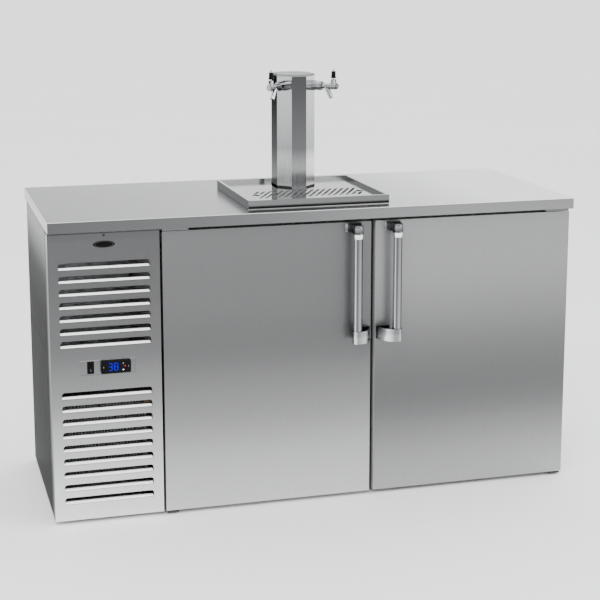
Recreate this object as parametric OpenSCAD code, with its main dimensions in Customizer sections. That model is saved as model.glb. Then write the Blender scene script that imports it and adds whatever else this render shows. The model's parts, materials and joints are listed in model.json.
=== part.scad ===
// Draft beer cooler: a two-door keg cabinet with a worktop, a drip tray and a two-tap tower.
// Millimetres. X runs to the right, Y to the back, Z up, with the floor at zero.

/* [Cabinet] */
// Width of the stainless worktop
top_w = 1524; // [1480:1:1700]
// Depth of the worktop from front to back
top_d = 634; // [600:1:760]
// Height of the worktop above the floor
top_z = 855; // [845:1:960]
// Height of the worktop's folded edge
apron_h = 31; // [22:1:34]
// Overhang of the worktop in front of the door faces
door_setback = 28; // [15:1:45]
// Overhang of the worktop behind the cabinet
rear_overhang = 40; // [10:1:60]
// Thickness of the folded steel sheet
sheet_t = 1.2; // [0.8:0.1:2]
// Thickness of the worktop's top sheet
top_t = 2; // [1.5:0.5:4]
// Thickness of the foam walls
foam_t = 48; // [40:1:60]
// Floor clearance under the cabinet
foot_h = 12; // [10:1:30]
// Height of the base tray
base_h = 12; // [10:1:20]
// Height of the joint between the two left side panels
seam_z = 472; // [400:1:540]
// Width of the open joint between panels
seam_gap = 1; // [0.5:0.1:2]
// Depth of the door frame
frame_t = 10; // [6:1:16]
// Thickness of the inner liner
liner_t = 1; // [0.8:0.1:2]
// Distance of the feet from the sides of the base
foot_inset = 90; // [70:1:150]

/* [Machine bay] */
// Width of the louvred front panel
panel_w = 303; // [296:1:330]
// Gap between the louvred panel and the left door
panel_gap = 7; // [6:0.5:12]
// Gap between the worktop's edge and the louvred panel
panel_drop = 6; // [4:1:20]
// Length of one louvre
louvre_l = 248; // [200:1:260]
// Height of one louvre
louvre_h = 19.5; // [14:0.5:24]
// Number of louvres over the controls
upper_louvres = 7; // [3:1:7]
// Pitch of the upper louvres
upper_pitch = 36; // [32:0.5:36]
// Number of louvres under the controls
lower_louvres = 9; // [3:1:9]
// Pitch of the lower louvres
lower_pitch = 37.6; // [32:0.1:38]
// Angle of the folded louvre tabs over the horizontal
tab_angle = 12; // [5:1:25]
// Height of the controls' centre over the panel's bottom edge
control_h = 432.5; // [380:0.5:440]
// Gap between the controls' centre and the upper louvres
upper_gap = 58.5; // [40:0.5:60]
// Gap between the controls' centre and the lower louvres' bottom edge
lower_gap = 85; // [60:1:90]
// Width of the control plate
plate_w = 154; // [150:1:180]
// Height of the control plate
plate_h = 41; // [40:1:48]
// Width of the fan blades' circle
fan_d = 190; // [150:1:210]

/* [Doors] */
// Thickness of a door without its gasket
door_t = 50; // [44:1:58]
// Gap between the two doors
door_gap = 13; // [8:1:20]
// Gap between a closed door and the frame
seal_gap = 7.5; // [6.5:0.1:10]
// Gap over a door under the worktop
head_gap = 12; // [10:1:26]
// Distance of a hinge pin from the door's outer edge
pivot_in = 20; // [16:1:24]
// Distance of a hinge pin behind the door face
pivot_back = 14; // [12:1:18]
// Diameter of a hinge pin
pin_d = 10; // [8:0.5:12]
// Running clearance of a pin in its bush, on the radius
run_gap = 0.08; // [0.02:0.01:0.1]
// Distance of the gasket from the door's edges
gasket_in = 22; // [20:1:30]
// Width of the gasket
gasket_w = 16; // [12:1:18]
// Air gap of the gasket in front of the frame
gasket_air = 0.4; // [0.3:0.1:1]
// Distance of a door opening from the door's edges
mouth_in = 50; // [46:1:60]

/* [Handles] */
// Diameter of the grip tube
grip_d = 25; // [18:0.5:26]
// Distance of the grip from the door face
grip_out = 42; // [38:1:60]
// Distance of the grip from the door's inner edge
grip_in = 52; // [44:1:70]
// Distance of the handle's top end below the door's top edge
grip_drop = 1; // [0:1:60]
// Length of the handle from end to end
handle_l = 341; // [240:1:420]
// Height of the scoop at the grip's foot
scoop_h = 36; // [28:1:44]
// Radius of the scoop round the grip
scoop_r = 15; // [15:0.5:18]

/* [Tray and tower] */
// Centre of the tower and grate to the right of the cabinet's centre
tap_x = 15; // [-40:1:60]
// Centre of the drip tray to the left of the tower's centre
tray_x = 9; // [0:1:12]
// Width of the drip tray
tray_w = 413; // [400:1:500]
// Depth of the drip tray
tray_d = 399; // [380:1:420]
// Height of the drip tray over the worktop
tray_h = 25.4; // [24:0.2:32]
// Distance of the tray behind the worktop's front edge
tray_y = 58; // [40:1:66]
// Depth of the tray's floor below its rim
tray_dip = 10; // [8:0.5:11]
// Width of the drip grate
grate_w = 346; // [300:1:352]
// Depth of the drip grate
grate_d = 138; // [110:1:140]
// Distance of the grate behind the tray's front edge
grate_y = 80; // [60:1:82]
// Width of the tower's front face
face_w = 44.5; // [40:0.5:60]
// Width of the tower's side faces
side_w = 66; // [60:1:90]
// Leg of the tower's 45 degree faces
bevel_w = 35.4; // [32:0.2:45]
// Height of the tower over the tray floor
tower_h = 336; // [280:1:420]
// Distance of the tower's front face behind the worktop's front edge
tower_y = 305; // [300:1:310]
// Distance of the taps below the top of the tower
tap_drop = 33; // [24:1:60]
// Clear gap between sliding and turning pieces
move_gap = 0.4; // [0.3:0.05:0.6]

/* [Hidden] */
$fn = 64;
e = 0.01;
r2 = sqrt(2);
side_gap = 0.3;
foam_joint = 0.2;
front_reach = grip_out + scoop_r - door_setback;
front_y = -(top_d - front_reach) / 2;
deck_z = top_z - apron_h;
base_z = foot_h + base_h;
bx0 = -top_w / 2 + sheet_t + side_gap;
bx1 = -bx0;
face_y = front_y + door_setback;
by0 = face_y + door_t + seal_gap;
by1 = front_y + top_d - rear_overhang;
back_y = by1 - sheet_t;
panel_x1 = bx0 + panel_w;
panel_z0 = foot_h;
panel_z1 = deck_z - panel_drop;
panel_cx = bx0 + panel_w / 2;
door_x0 = panel_x1 + panel_gap;
door_w = (top_w / 2 - door_x0 - door_gap) / 2;
door_z0 = foot_h;
door_z1 = deck_z - head_gap;
frame_x0 = door_x0 - 3;
right_x = bx1 - sheet_t;
cold_x0 = frame_x0 + foam_t;
cold_x1 = right_x - foam_t;
cold_y0 = by0 + frame_t;
cold_y1 = back_y - foam_t;
cold_z0 = base_z + foam_t;
cold_z1 = deck_z - foam_t;
floor_z = cold_z0 + liner_t;
wall_x = cold_x0 + liner_t;
ceiling_z = cold_z1 - liner_t;
bay_x0 = bx0 + sheet_t;
control_z = panel_z0 + control_h;
tray_y0 = front_y + tray_y;
floor_top = top_z + tray_h - tray_dip;
sump_y0 = tray_y0 + grate_y;
sump_z = top_z + 3.5;
drain_y = sump_y0 + grate_d / 2;
drain_r = 10;
column_y = front_y + tower_y;
column_w = face_w + 2 * bevel_w;
column_d = side_w + 2 * bevel_w;
column_cy = column_y + column_d / 2;
column_z = floor_top + 5;
column_top = floor_top + tower_h;
throat_r = 34;
tap_z = column_top - tap_drop;
facet_dx = face_w / 2 + bevel_w / 2;
facet_y = column_y + bevel_w / 2;
wall_t = 2;
pivot_d = 77;
pivot_h = 11;
grip_x = door_x0 + door_w - grip_in;
fan_x = panel_cx;
fan_z = base_z + 165;
evap_z = floor_z + 520;
evap_h = 170;
evap_y = cold_y0 + 150;
evap_l = 240;
evap_t = 100;

function steel() = [0.72, 0.73, 0.74];
function dark() = [0.08, 0.08, 0.09];
function zinc() = [0.6, 0.62, 0.64];
function copper() = [0.72, 0.45, 0.3];

module slab(x0, x1, y0, y1, z0, z1) {
    translate([x0, y0, z0])
        cube([x1 - x0, y1 - y0, z1 - z0]);
}

// A rod of radius r from z0 to z1 on the line through x and y.
module post(x, y, z0, z1, r) {
    translate([x, y, z0])
        cylinder(h = z1 - z0, r = r);
}

// A rod of radius r along X.
module rod_x(x0, x1, y, z, r) {
    translate([x0, y, z])
        rotate([0, 90, 0])
            cylinder(h = x1 - x0, r = r);
}

// A rod of radius r along Y.
module rod_y(x, y0, y1, z, r) {
    translate([x, y0, z])
        rotate([-90, 0, 0])
            cylinder(h = y1 - y0, r = r);
}

// Draws its children again on the other side of the plane between the doors.
module other_door() {
    translate([door_x0 + door_w + door_gap / 2, 0, 0])
        mirror([1, 0, 0])
            translate([-(door_x0 + door_w + door_gap / 2), 0, 0])
                children();
}

// Holes in the worktop for the tower's throat and the tray's drain.
module deck_holes(z0, z1) {
    post(tap_x, column_cy, z0, z1, throat_r);
    post(tap_x, drain_y, z0, z1, drain_r);
}

foot_spots = [
    for (x = [bay_x0 + foot_inset, right_x - foot_inset], y = [by0 + 60, back_y - 60]) [x, y]
];

module levelling_feet() {
    color(dark())
        for (p = foot_spots) {
            post(p[0], p[1], 0, 5, 22);
            post(p[0], p[1], 5 - e, foot_h + base_h, 5);
        }
}

module base_tray() {
    color(zinc())
        difference() {
            slab(bay_x0, right_x, by0, back_y, foot_h, base_z);
            slab(bay_x0 + 2, right_x - 2, by0 + 2, back_y - 2, foot_h - 1, base_z - 2);
            for (p = foot_spots)
                post(p[0], p[1], foot_h, base_z + 1, 5);
        }
}

module left_side_lower() {
    color(steel()) {
        slab(bx0, bay_x0, by0, by1, foot_h, seam_z - seam_gap / 2);
        slab(bay_x0 - e, bay_x0 + 16, by0, by0 + sheet_t, base_z, seam_z - seam_gap / 2);
    }
}

module left_side_upper() {
    color(steel()) {
        slab(bx0, bay_x0, by0, by1, seam_z + seam_gap / 2, deck_z);
        slab(bay_x0 - e, bay_x0 + 16, by0, by0 + sheet_t, seam_z + seam_gap / 2, deck_z);
    }
}

module right_side_panel() {
    color(steel())
        slab(right_x, bx1, by0, by1, foot_h, deck_z);
}

gland_x = bay_x0 + 60;
gland_z = base_z + 60;
gland_r = 11;

module back_panel() {
    color(zinc())
        difference() {
            slab(bay_x0, right_x, back_y, by1, foot_h, deck_z);
            rod_y(gland_x, back_y - 1, by1 + 1, gland_z, gland_r);
        }
}

module cord_gland() {
    color(dark())
        difference() {
            union() {
                rod_y(gland_x, back_y - 10, by1 + 8, gland_z, gland_r);
                rod_y(gland_x, by1, by1 + 3, gland_z, gland_r + 4);
                rod_y(gland_x, back_y - 6, back_y, gland_z, gland_r + 4);
            }
            rod_y(gland_x, back_y - 20, by1 + 20, gland_z, 5);
        }
}

module foam_walls() {
    j = foam_joint;
    color([0.9, 0.85, 0.62]) {
        slab(frame_x0, cold_x0, cold_y0, back_y, base_z, deck_z - j);
        slab(cold_x1, right_x, cold_y0, back_y, base_z, deck_z - j);
        slab(cold_x0 + j, cold_x1 - j, cold_y1, back_y, base_z, deck_z - j);
        slab(cold_x0 + j, cold_x1 - j, cold_y0, cold_y1 - j, base_z, cold_z0);
        difference() {
            slab(cold_x0 + j, cold_x1 - j, cold_y0, cold_y1 - j, cold_z1, deck_z - j);
            deck_holes(cold_z1 - 1, deck_z + 1);
        }
        difference() {
            slab(-top_w / 2 + sheet_t, top_w / 2 - sheet_t, front_y + sheet_t, front_y + top_d - sheet_t,
                deck_z, top_z - top_t);
            deck_holes(deck_z - 1, top_z);
        }
    }
}

module inner_liner() {
    color([0.8, 0.81, 0.82])
        difference() {
            slab(cold_x0, cold_x1, cold_y0, cold_y1, cold_z0, cold_z1);
            slab(wall_x, cold_x1 - liner_t, cold_y0 - 1, cold_y1 - liner_t, floor_z, ceiling_z);
            deck_holes(ceiling_z - 1, cold_z1 + 1);
        }
}

module door_mouth() {
    slab(door_x0 + mouth_in, door_x0 + door_w - mouth_in, by0 - 1, cold_y0 + 1,
        floor_z, door_z1 - mouth_in);
}

module door_frame() {
    color([0.55, 0.56, 0.57])
        difference() {
            slab(frame_x0, right_x, by0, cold_y0, base_z, deck_z);
            door_mouth();
            other_door()
                door_mouth();
        }
}

module worktop() {
    color(steel())
        difference() {
            slab(-top_w / 2, top_w / 2, front_y, front_y + top_d, deck_z, top_z);
            slab(-top_w / 2 + sheet_t, top_w / 2 - sheet_t, front_y + sheet_t, front_y + top_d - sheet_t,
                deck_z - 1, top_z - top_t);
            deck_holes(deck_z, top_z + 1);
        }
}

// A louvre opening with its bottom edge at z, rounded at the top corners.
module louvre_hole(z) {
    r = louvre_h * 0.4;
    x0 = panel_cx - louvre_l / 2;
    slab(x0, x0 + louvre_l, face_y - 1, face_y + sheet_t + 1, z, z + louvre_h - r);
    slab(x0 + r, x0 + louvre_l - r, face_y - 1, face_y + sheet_t + 1, z, z + louvre_h);
    for (x = [x0 + r, x0 + louvre_l - r])
        rod_y(x, face_y - 1, face_y + sheet_t + 1, z + louvre_h - r, r);
}

// The tongue cut from a louvre and folded inward at its bottom edge.
module louvre_tab(z) {
    translate([panel_cx - louvre_l / 2 + 1, face_y, z - sheet_t])
        rotate([tab_angle, 0, 0])
            cube([louvre_l - 2, louvre_h + 4, sheet_t]);
}

louvre_rows = [
    for (k = [0 : upper_louvres - 1]) control_z + upper_gap + upper_pitch * k,
    for (k = [0 : lower_louvres - 1]) control_z - lower_gap - lower_pitch * k
];
plate_x = panel_cx + 2.5;

module louvre_panel() {
    color(steel()) {
        difference() {
            slab(bx0, panel_x1, face_y, by0, panel_z0, panel_z1);
            slab(bx0 + sheet_t, panel_x1 - sheet_t, face_y + sheet_t, by0 + 1,
                panel_z0 + sheet_t, panel_z1 - sheet_t);
            for (z = louvre_rows)
                louvre_hole(z);
            slab(plate_x - plate_w / 2, plate_x + plate_w / 2, face_y - 1, face_y + sheet_t + 1,
                control_z - plate_h / 2, control_z + plate_h / 2);
        }
        for (z = louvre_rows)
            louvre_tab(z);
    }
}

badge_w = 63;
badge_h = 19.5;
badge_t = 2;

module badge_plate() {
    color(dark())
        translate([panel_cx, face_y, panel_z1 - 32])
            rotate([90, 0, 0])
                linear_extrude(height = badge_t)
                    polygon([for (a = [0 : 5 : 355]) [badge_w / 2 * cos(a), badge_h / 2 * sin(a)]]);
}

switch_x = plate_x - 46.5;
control_x = plate_x + 22;
control_y = face_y + sheet_t;

module control_plate() {
    color(zinc())
        difference() {
            slab(plate_x - plate_w / 2 - 4, plate_x + plate_w / 2 + 4, control_y, control_y + 1.5,
                control_z - plate_h / 2 - 2, control_z + plate_h / 2 + 2);
            slab(switch_x - 8, switch_x + 8, control_y - 1, control_y + 3,
                control_z - 15.5, control_z + 15.5);
            slab(control_x - 35, control_x + 35, control_y - 1, control_y + 3,
                control_z - 14, control_z + 14);
        }
}

rocker_y = control_y + 2.5;

module switch_housing() {
    color(dark())
        difference() {
            union() {
                slab(switch_x - 9.2, switch_x + 9.2, control_y - 2, control_y,
                    control_z - 16.8, control_z + 16.8);
                slab(switch_x - 8, switch_x + 8, control_y - e, control_y + 22,
                    control_z - 15.5, control_z + 15.5);
            }
            slab(switch_x - 6.9, switch_x + 6.9, control_y - 3, control_y + 9,
                control_z - 14.4, control_z + 14.4);
            rod_x(switch_x - 10, switch_x + 10, rocker_y, control_z, 1.5 + run_gap);
        }
}

module switch_rocker() {
    color([0.05, 0.05, 0.06]) {
        slab(switch_x - 6.4, switch_x + 6.4, rocker_y - 6, rocker_y + 2,
            control_z - 13.2, control_z + 13.2);
        rod_x(switch_x - 7.8, switch_x + 7.8, rocker_y, control_z, 1.5);
        for (k = [0 : 5])
            slab(switch_x - 5, switch_x + 5, rocker_y - 6.6, rocker_y - 5.9,
                control_z + 3 + 1.7 * k, control_z + 3.8 + 1.7 * k);
    }
}

key_out = 34;
key_w = 6;
key_h = 15;
key_throw = 0.8;

module controller_housing() {
    color([0.03, 0.03, 0.035])
        difference() {
            union() {
                intersection() {
                    slab(control_x - 41.5, control_x + 41.5, control_y - 7, control_y,
                        control_z - 18, control_z + 18);
                    rod_y(control_x, control_y - 8, control_y + 1, control_z, 43.5);
                }
                slab(control_x - 35, control_x + 35, control_y - e, control_y + 52,
                    control_z - 14, control_z + 14);
            }
            slab(control_x - 28, control_x + 28, control_y - 8, control_y - 5,
                control_z - 13, control_z + 13);
            for (s = [-1, 1])
                translate([control_x + s * key_out, control_y - 8, control_z])
                    slab(-key_w / 2 - move_gap, key_w / 2 + move_gap, 0, 7,
                        -key_h / 2 - move_gap, key_h / 2 + move_gap);
        }
}

module display_window() {
    color([0.02, 0.03, 0.12])
        slab(control_x - 28, control_x + 28, control_y - 6.6, control_y - 5,
            control_z - 13, control_z + 13);
}

module controller_key(s) {
    color([0.15, 0.15, 0.17])
        slab(control_x + s * key_out - key_w / 2, control_x + s * key_out + key_w / 2,
            control_y - 8, control_y - 1 - 2 * key_throw, control_z - key_h / 2, control_z + key_h / 2);
}

module left_key() {
    controller_key(-1);
}

module right_key() {
    controller_key(1);
}

coil_y0 = by0 + 20;
coil_y1 = by0 + 70;
coil_h = 320;
coil_w = 232;
coil_edge = 14;
pipe_r = 5;
pipe_rows = 7;
pipe_pitch = 40;
pipe_out = 6;
pipe_x = panel_cx + coil_w / 2 + 3 * pipe_out;
pipe_end = panel_cx + coil_w / 2 + pipe_out;
row_z0 = base_z + pipe_pitch;
row_z1 = row_z0 + pipe_pitch * (pipe_rows - 1);
pump_in = 130;
pump_y = back_y - pump_in;
stub_dy = 22;
hot_pipe_y = pump_y - stub_dy;
cold_pipe_y = pump_y + stub_dy;

module condenser_coil() {
    color(zinc()) {
        for (s = [-1, 1])
            slab(panel_cx + s * coil_w / 2 - 1.5, panel_cx + s * coil_w / 2 + 1.5, coil_y0, coil_y1,
                base_z, base_z + coil_h);
        for (x = [8 - coil_w / 2 : 9 : coil_w / 2 - 8])
            slab(panel_cx + x - 0.5, panel_cx + x + 0.5, coil_y0, coil_y1,
                base_z + 16, base_z + coil_h - 6);
        for (k = [0 : pipe_rows - 1], y = [coil_y0 + coil_edge, coil_y1 - coil_edge])
            rod_x(2 * panel_cx - pipe_end, pipe_end, y, row_z0 + pipe_pitch * k, pipe_r);
    }
}

motor_gap = 60;
motor_l = 60;
motor_r = 34;
shaft_gap = 22;
shaft_r = 4;
stand_w = 44;
stand_in = 12;
stand_t = 3;
motor_y = coil_y1 + motor_gap;

module fan_motor() {
    color([0.2, 0.2, 0.22]) {
        rod_y(fan_x, motor_y, motor_y + motor_l, fan_z, motor_r);
        rod_y(fan_x, coil_y1 + shaft_gap, motor_y + e, fan_z, shaft_r);
        slab(fan_x - stand_w / 2, fan_x + stand_w / 2, motor_y + stand_in, motor_y + motor_l - stand_in,
            base_z, fan_z - motor_r * 0.6);
        slab(fan_x - stand_w, fan_x + stand_w, motor_y + stand_in / 2, motor_y + motor_l - stand_in / 2,
            base_z, base_z + stand_t);
    }
}

hub_r = 20;
hub_l = 20;
blade_t = 1.6;
blade_z = 14;
tip_in = 4;

// A fan with flat pitched blades on an axis along Y.
module fan_wheel(d, blades) {
    difference() {
        union() {
            rod_y(0, 0, hub_l, 0, hub_r);
            for (k = [0 : blades - 1])
                rotate([0, k * 360 / blades, 0])
                    translate([0, hub_l / 2, blade_z])
                        rotate([0, 0, 24])
                            slab(-d * 0.13, d * 0.13, -blade_t / 2, blade_t / 2, 0, d / 2 - blade_z - tip_in);
        }
        rod_y(0, -1, hub_l + 1, 0, shaft_r + run_gap);
    }
}

module condenser_fan() {
    color([0.75, 0.76, 0.78])
        translate([fan_x, coil_y1 + shaft_gap + shaft_r, fan_z])
            fan_wheel(fan_d, 5);
}

mount_w = 190;
mount_d = 120;
mount_t = 4;
can_r = 75;
can_h = 115;
dome_r = 96;
stub_out = 17;
hot_h = 60;
cold_h = 95;
stub_x = panel_cx + can_r + stub_out;
hot_z = base_z + hot_h;
cold_z = base_z + cold_h;

module compressor() {
    color(dark()) {
        slab(panel_cx - mount_w / 2, panel_cx + mount_w / 2, pump_y - mount_d / 2, pump_y + mount_d / 2,
            base_z, base_z + mount_t);
        post(panel_cx, pump_y, base_z + mount_t - e, base_z + can_h, can_r);
        intersection() {
            translate([panel_cx, pump_y, base_z + can_h - sqrt(dome_r * dome_r - can_r * can_r)])
                sphere(r = dome_r);
            post(panel_cx, pump_y, base_z + can_h - e, base_z + can_h + can_r, can_r);
        }
        rod_x(panel_cx + can_r * 0.73, stub_x, hot_pipe_y, hot_z, pipe_r);
        rod_x(panel_cx + can_r * 0.73, stub_x, cold_pipe_y, cold_z, pipe_r);
    }
}

// A brazed elbow, a little fatter than the pipes that it joins.
module bend(x, y, z) {
    translate([x, y, z])
        sphere(r = pipe_r + 0.4);
}

drier_gap = 40;
drier_l = 110;
drier_r = 10;
liquid_run = 140;
drier_y = coil_y1 + drier_gap;

module copper_lines() {
    hot_y = coil_y1 - coil_edge;
    liquid_y = drier_y + liquid_run;
    color(copper()) {
        rod_x(stub_x, pipe_x, hot_pipe_y, hot_z, pipe_r);
        bend(pipe_x, hot_pipe_y, hot_z);
        post(pipe_x, hot_pipe_y, hot_z, row_z1, pipe_r);
        bend(pipe_x, hot_pipe_y, row_z1);
        rod_y(pipe_x, hot_y, hot_pipe_y, row_z1, pipe_r);
        bend(pipe_x, hot_y, row_z1);
        rod_x(pipe_end, pipe_x, hot_y, row_z1, pipe_r);
        rod_x(pipe_end, pipe_x, hot_y, row_z0, pipe_r);
        bend(pipe_x, hot_y, row_z0);
        rod_y(pipe_x, hot_y, liquid_y, row_z0, pipe_r);
        rod_y(pipe_x, drier_y, drier_y + drier_l, row_z0, drier_r);
        bend(pipe_x, liquid_y, row_z0);
        rod_x(pipe_x, frame_x0, liquid_y, row_z0, pipe_r);
        rod_x(stub_x, frame_x0, cold_pipe_y, cold_z, pipe_r);
    }
}

door_x1 = door_x0 + door_w;
pivot_x = door_x0 + pivot_in;
pivot_y = face_y + pivot_back;
pin_top = deck_z - 1;
pin_low = foot_h - 6.5;

module door_skin() {
    color(steel()) {
        difference() {
            slab(door_x0, door_x1, face_y, face_y + door_t, door_z0, door_z1);
            slab(door_x0 + sheet_t, door_x1 - sheet_t, face_y + sheet_t, face_y + door_t + 1,
                door_z0 + sheet_t, door_z1 - sheet_t);
        }
        post(pivot_x, pivot_y, door_z1 - sheet_t, pin_top, pin_d / 2);
        post(pivot_x, pivot_y, pin_low, door_z0 + sheet_t, pin_d / 2);
        post(pivot_x, pivot_y, door_z0 - 2.6, door_z0 + sheet_t, pin_d / 2 + 3);
    }
}

module door_liner() {
    color([0.82, 0.83, 0.84])
        slab(door_x0 + sheet_t, door_x1 - sheet_t, face_y + sheet_t, face_y + door_t,
            door_z0 + sheet_t, door_z1 - sheet_t);
}

module door_gasket() {
    a = gasket_in;
    b = gasket_in + gasket_w;
    color(dark())
        difference() {
            slab(door_x0 + a, door_x1 - a, face_y + door_t, by0 - gasket_air, door_z0 + a, door_z1 - a);
            slab(door_x0 + b, door_x1 - b, face_y + door_t - 1, by0, door_z0 + b, door_z1 - b);
        }
}

hinge_l = 74;
hinge_t = 6;
hinge_lip = 3;
lower_z = foot_h - 7;

module upper_hinge() {
    difference() {
        union() {
            slab(door_x0 + 1, door_x0 + hinge_l, face_y + 2, by0, deck_z - hinge_t, deck_z);
            slab(door_x0 + 1, door_x0 + hinge_l, face_y + 2, face_y + 2 + hinge_lip, door_z1 + 1, deck_z);
        }
        post(pivot_x, pivot_y, door_z1, deck_z + 1, pin_d / 2 + run_gap);
    }
}

module upper_hinges() {
    color(steel()) {
        upper_hinge();
        other_door()
            upper_hinge();
    }
}

module lower_hinge() {
    difference() {
        union() {
            slab(door_x0 + 3, door_x0 + 36, face_y + 3, by0 + 40, lower_z, lower_z + 4);
            slab(door_x0 + 3, door_x0 + 36, by0, by0 + 40, lower_z + 4 - e, foot_h);
        }
        post(pivot_x, pivot_y, lower_z - 1, lower_z + 5, pin_d / 2 + run_gap);
    }
}

module lower_hinges() {
    color(dark()) {
        lower_hinge();
        other_door()
            lower_hinge();
    }
}

grip_y = face_y - grip_out;
handle_top = door_z1 - grip_drop;
handle_z = handle_top - handle_l;

module grip_tube() {
    color(steel())
        difference() {
            post(grip_x, grip_y, handle_z + 3, handle_top - 10, grip_d / 2);
            post(grip_x, grip_y, handle_z, handle_top, grip_d / 2 - 1.5);
        }
}

// Half section of the rounded collar at the top of a grip, from its tip at zero downward.
collar_r = grip_d / 2 + 1.5;
collar_section = concat(
    [[grip_d / 2, -40], [grip_d / 2 + 1, -40], [scoop_r - 0.5, -35], [scoop_r, -27], [collar_r, -22]],
    [for (a = [0 : 15 : 90]) [collar_r * cos(a), -8 + 8 * sin(a)]],
    [[0, -10], [grip_d / 2, -10]]
);

// The upper bracket seen from above, with the grip at the origin: it flares out to meet the door.
head_h = 24;
head_drop = 2;
flare_w = 11;
flare_y = 16;
flare = [
    for (a = [0 : 10 : 90]) [collar_r + flare_w * (1 - cos(a)), flare_y + (grip_out - flare_y) * sin(a)]
];
head_plan = concat(
    [[-collar_r, 0], [collar_r, 0]],
    flare,
    [for (k = [len(flare) - 1 : -1 : 0]) [-flare[k][0], flare[k][1]]]
);

module handle_head() {
    color(steel()) {
        translate([grip_x, grip_y, handle_top])
            rotate_extrude()
                polygon(collar_section);
        difference() {
            translate([grip_x, grip_y, handle_top - head_drop - head_h])
                linear_extrude(height = head_h)
                    polygon(head_plan);
            post(grip_x, grip_y, handle_z, handle_top - 10, collar_r - 0.5);
        }
    }
}

// A point at t on the scoop's curved wall, seen from above with the grip at the origin.
scoop_ctrl = [[0, -1], [0.62, -0.42], [0.82, 0.35], [1, 1]];
function scoop_node(k) = k == 0
    ? [0, -scoop_r]
    : [scoop_ctrl[k][0] * (grip_in - 1), k == 1 ? -scoop_r : scoop_ctrl[k][1] * grip_out];
function scoop_point(t) = pow(1 - t, 3) * scoop_node(0) + 3 * t * pow(1 - t, 2) * scoop_node(1)
    + 3 * t * t * (1 - t) * scoop_node(2) + pow(t, 3) * scoop_node(3);
function scoop_slope(t) = 3 * pow(1 - t, 2) * (scoop_node(1) - scoop_node(0))
    + 6 * t * (1 - t) * (scoop_node(2) - scoop_node(1)) + 3 * t * t * (scoop_node(3) - scoop_node(2));
function scoop_inside(t) = let (d = scoop_slope(t)) scoop_point(t) + 3 * [-d[1], d[0]] / norm(d);
scoop_steps = [for (k = [0 : 20]) k / 20];

module handle_foot() {
    color(steel())
        translate([grip_x, grip_y, handle_z]) {
            difference() {
                union() {
                    cylinder(h = scoop_h, r = scoop_r);
                    linear_extrude(height = scoop_h)
                        polygon(concat(
                            [for (t = scoop_steps) scoop_point(t)],
                            [[grip_in - 1, grip_out], [grip_in - 5, grip_out]],
                            [for (k = [20 : -1 : 0])
                                let (q = scoop_inside(k / 20)) [q[0], min(grip_out, q[1])]]
                        ));
                    linear_extrude(height = 3)
                        polygon(concat(
                            [for (t = scoop_steps) scoop_point(t)],
                            [[6, grip_out], [-8, 10]]
                        ));
                    translate([8, grip_out - 3, 0])
                        cube([grip_in - 9, 3, scoop_h]);
                }
                translate([0, 0, 3])
                    cylinder(h = scoop_h, r = grip_d / 2);
            }
        }
}

module left_door_skin() {
    door_skin();
}

module left_door_liner() {
    door_liner();
}

module left_door_gasket() {
    door_gasket();
}

module left_grip() {
    grip_tube();
}

module left_handle_head() {
    handle_head();
}

module left_handle_foot() {
    handle_foot();
}

module right_door_skin() {
    other_door()
        door_skin();
}

module right_door_liner() {
    other_door()
        door_liner();
}

module right_door_gasket() {
    other_door()
        door_gasket();
}

module right_grip() {
    other_door()
        grip_tube();
}

module right_handle_head() {
    other_door()
        handle_head();
}

module right_handle_foot() {
    other_door()
        handle_foot();
}

tray_x0 = tap_x - tray_x - tray_w / 2;
tray_x1 = tray_x0 + tray_w;
tray_y1 = tray_y0 + tray_d;
rim_z = top_z + tray_h;
rim_w = 8;
seal_z = top_z + 2;
pan_z = top_z + 7;
pan_t = 1.5;
plate_t = 2;
ledge_w = 5;
grate_fit = 0.5;

module drip_tray() {
    color(steel())
        difference() {
            union() {
                difference() {
                    slab(tray_x0, tray_x1, tray_y0, tray_y1, top_z, rim_z);
                    for (y = [tray_y0 - 1, tray_y1 - 3])
                        slab(tray_x0 + pan_t, tray_x1 - pan_t, y, y + 4, seal_z, pan_z);
                    slab(tray_x0 + rim_w, tray_x1 - rim_w, tray_y0 + rim_w, tray_y1 - rim_w,
                        floor_top, rim_z + 1);
                    slab(tray_x0 + pan_t, tray_x1 - pan_t, tray_y0 + rim_w, tray_y1 - rim_w,
                        top_z, floor_top - plate_t);
                }
                slab(tap_x - grate_w / 2 - pan_t, tap_x + grate_w / 2 + pan_t, sump_y0 - pan_t,
                    sump_y0 + grate_d + pan_t, sump_z + pan_t, floor_top - plate_t + e);
            }
            slab(tap_x - grate_w / 2, tap_x + grate_w / 2, sump_y0, sump_y0 + grate_d,
                floor_top - plate_t, rim_z + 1);
            slab(tap_x - grate_w / 2 + ledge_w, tap_x + grate_w / 2 - ledge_w, sump_y0 + ledge_w,
                sump_y0 + grate_d - ledge_w, sump_z, rim_z);
            post(tap_x, column_cy, top_z, rim_z, throat_r);
        }
}

drain_pipe_r = drain_r - 2;

module tray_seals() {
    color([0.03, 0.03, 0.03])
        for (y = [tray_y0 + 1.5, tray_y1 - 3])
            slab(tray_x0 + pan_t, tray_x1 - pan_t, y, y + 1.5, seal_z, pan_z);
}

slot_lean = 28;
slot_pitch = 18.4;
slot_w = 8.5;
grate_edge = 9;
hole_r = 12;
hole_in = 17;

// The finger holes of the grate, or the solid plate kept round them.
module finger_holes(r) {
    for (s = [-1, 1])
        translate([s * (grate_w / 2 - hole_in), 0, -2])
            cylinder(h = 9, r = r);
}

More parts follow.
